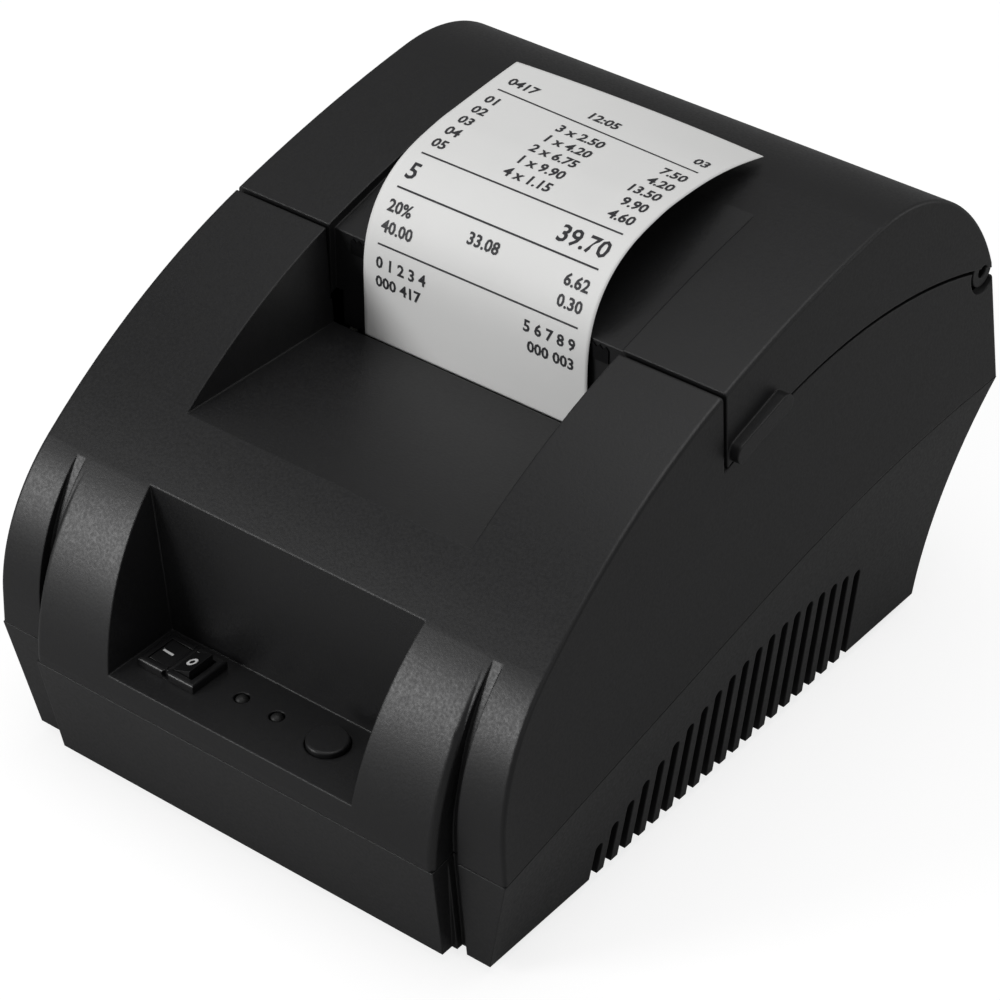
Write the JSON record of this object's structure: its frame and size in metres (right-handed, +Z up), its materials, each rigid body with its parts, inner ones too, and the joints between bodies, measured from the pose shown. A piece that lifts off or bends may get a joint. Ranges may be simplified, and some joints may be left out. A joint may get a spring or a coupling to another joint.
{
  "type": "receipt printer",
  "caption": "Compact black thermal receipt printer with a rear-hinged lid, side vents, front controls and a printed receipt.",
  "frame": {"origin": "middle of the footprint, on the surface the feet stand on", "axes": "+Z up, front with the controls towards -Y, +X to the viewer's right"},
  "size_m": [0.1326, 0.179, 0.1189],
  "materials": {
    "casing_black": "fine moulded texture",
    "base_black": "fine moulded texture",
    "switch_black": "smooth",
    "receipt_paper": "smooth thermal paper",
    "card": "plain",
    "rubber_black": "matt",
    "steel": "plain",
    "aluminium": "plain",
    "gear_white": "moulded",
    "inner_black": "moulded",
    "board_green": "solder mask",
    "chip_black": "moulded",
    "lens": "clear",
    "cable_grey": "satin"
  },
  "bodies": {
    "casing": {"upper_casing": "casing_black", "base_tray": "base_black", "hinge_pins": "steel", "case_screws": "steel", "rubber_feet": "rubber_black", "gear_axle": "steel", "stepper_motor": "steel", "mechanism_frame": "inner_black", "head_pivot_pin": "steel", "head_springs": "steel", "paper_sensor": "chip_black", "paper_web": "receipt_paper", "paper_bay": "inner_black", "main_board": "board_green", "board_screws": "steel", "board_components": "chip_black", "power_inlet": "chip_black", "data_socket": "steel", "drawer_socket": "chip_black", "frame_screws": "steel", "rocker_housing": "switch_black", "tact_switch": "chip_black", "indicator_lenses": "lens", "control_board": "board_green", "control_screws": "steel", "head_ribbon": "cable_grey", "control_ribbon": "cable_grey", "motor_lead": "cable_grey"},
    "lid": {"lid_shell": "casing_black", "lid_inner_frame": "inner_black", "tear_bar": "steel", "lid_screws": "steel", "platen_bushes": "gear_white", "receipt": "receipt_paper"},
    "platen": {"platen_rubber": "rubber_black", "platen_shaft": "steel", "platen_gear": "gear_white"},
    "reduction": {"reduction_gear": "gear_white"},
    "motor_rotor": {"motor_pinion": "steel"},
    "roll": {"paper_roll": "receipt_paper", "roll_core": "card"},
    "print_head": {"print_head_strip": "chip_black", "head_heat_sink": "aluminium"},
    "rocker": {"rocker_paddle": "switch_black"},
    "button": {"feed_button": "casing_black"}
  },
  "joints": [
    {"name": "lid_hinge", "type": "hinge", "parent": "casing", "child": "lid", "pos_m": [0, 0.0822, 0.0812], "axis": [-1, 0, 0], "range_deg": [0, 80]},
    {"name": "roll_spin", "type": "hinge", "parent": "casing", "child": "roll", "pos_m": [0, 0.036, 0.066], "axis": [1, 0, 0], "continuous": true},
    {"name": "platen_spin", "type": "hinge", "parent": "lid", "child": "platen", "pos_m": [0, -0.0012, 0.0685], "axis": [1, 0, 0], "continuous": true},
    {"name": "gear_spin", "type": "hinge", "parent": "casing", "child": "reduction", "pos_m": [0, 0.0004, 0.05711], "axis": [1, 0, 0], "continuous": true},
    {"name": "motor_spin", "type": "hinge", "parent": "casing", "child": "motor_rotor", "pos_m": [0, 0.00583, 0.04367], "axis": [1, 0, 0], "continuous": true},
    {"name": "head_pivot", "type": "hinge", "parent": "casing", "child": "print_head", "pos_m": [0, -0.00299, 0.05361], "axis": [1, 0, 0], "range_deg": [0, 3], "stiffness_Nm_per_rad": 0.6, "springref_deg": -11.46},
    {"name": "rocker_tilt", "type": "hinge", "parent": "casing", "child": "rocker", "pos_m": [-0.022, -0.0778, 0.0346], "axis": [0, 1, 0], "range_deg": [0, 16]},
    {"name": "feed_press", "type": "slide", "parent": "casing", "child": "button", "axis": [0, 0, -1], "range_m": [0, 0.0006], "stiffness_N_per_m": 800, "springref_m": -0.0005}
  ],
  "couplings": [
    {"joint": "platen_spin", "follows": "roll_spin", "ratio": 4.8},
    {"joint": "gear_spin", "follows": "roll_spin", "ratio": -8.2286},
    {"joint": "motor_spin", "follows": "roll_spin", "ratio": 24.686}
  ]
}
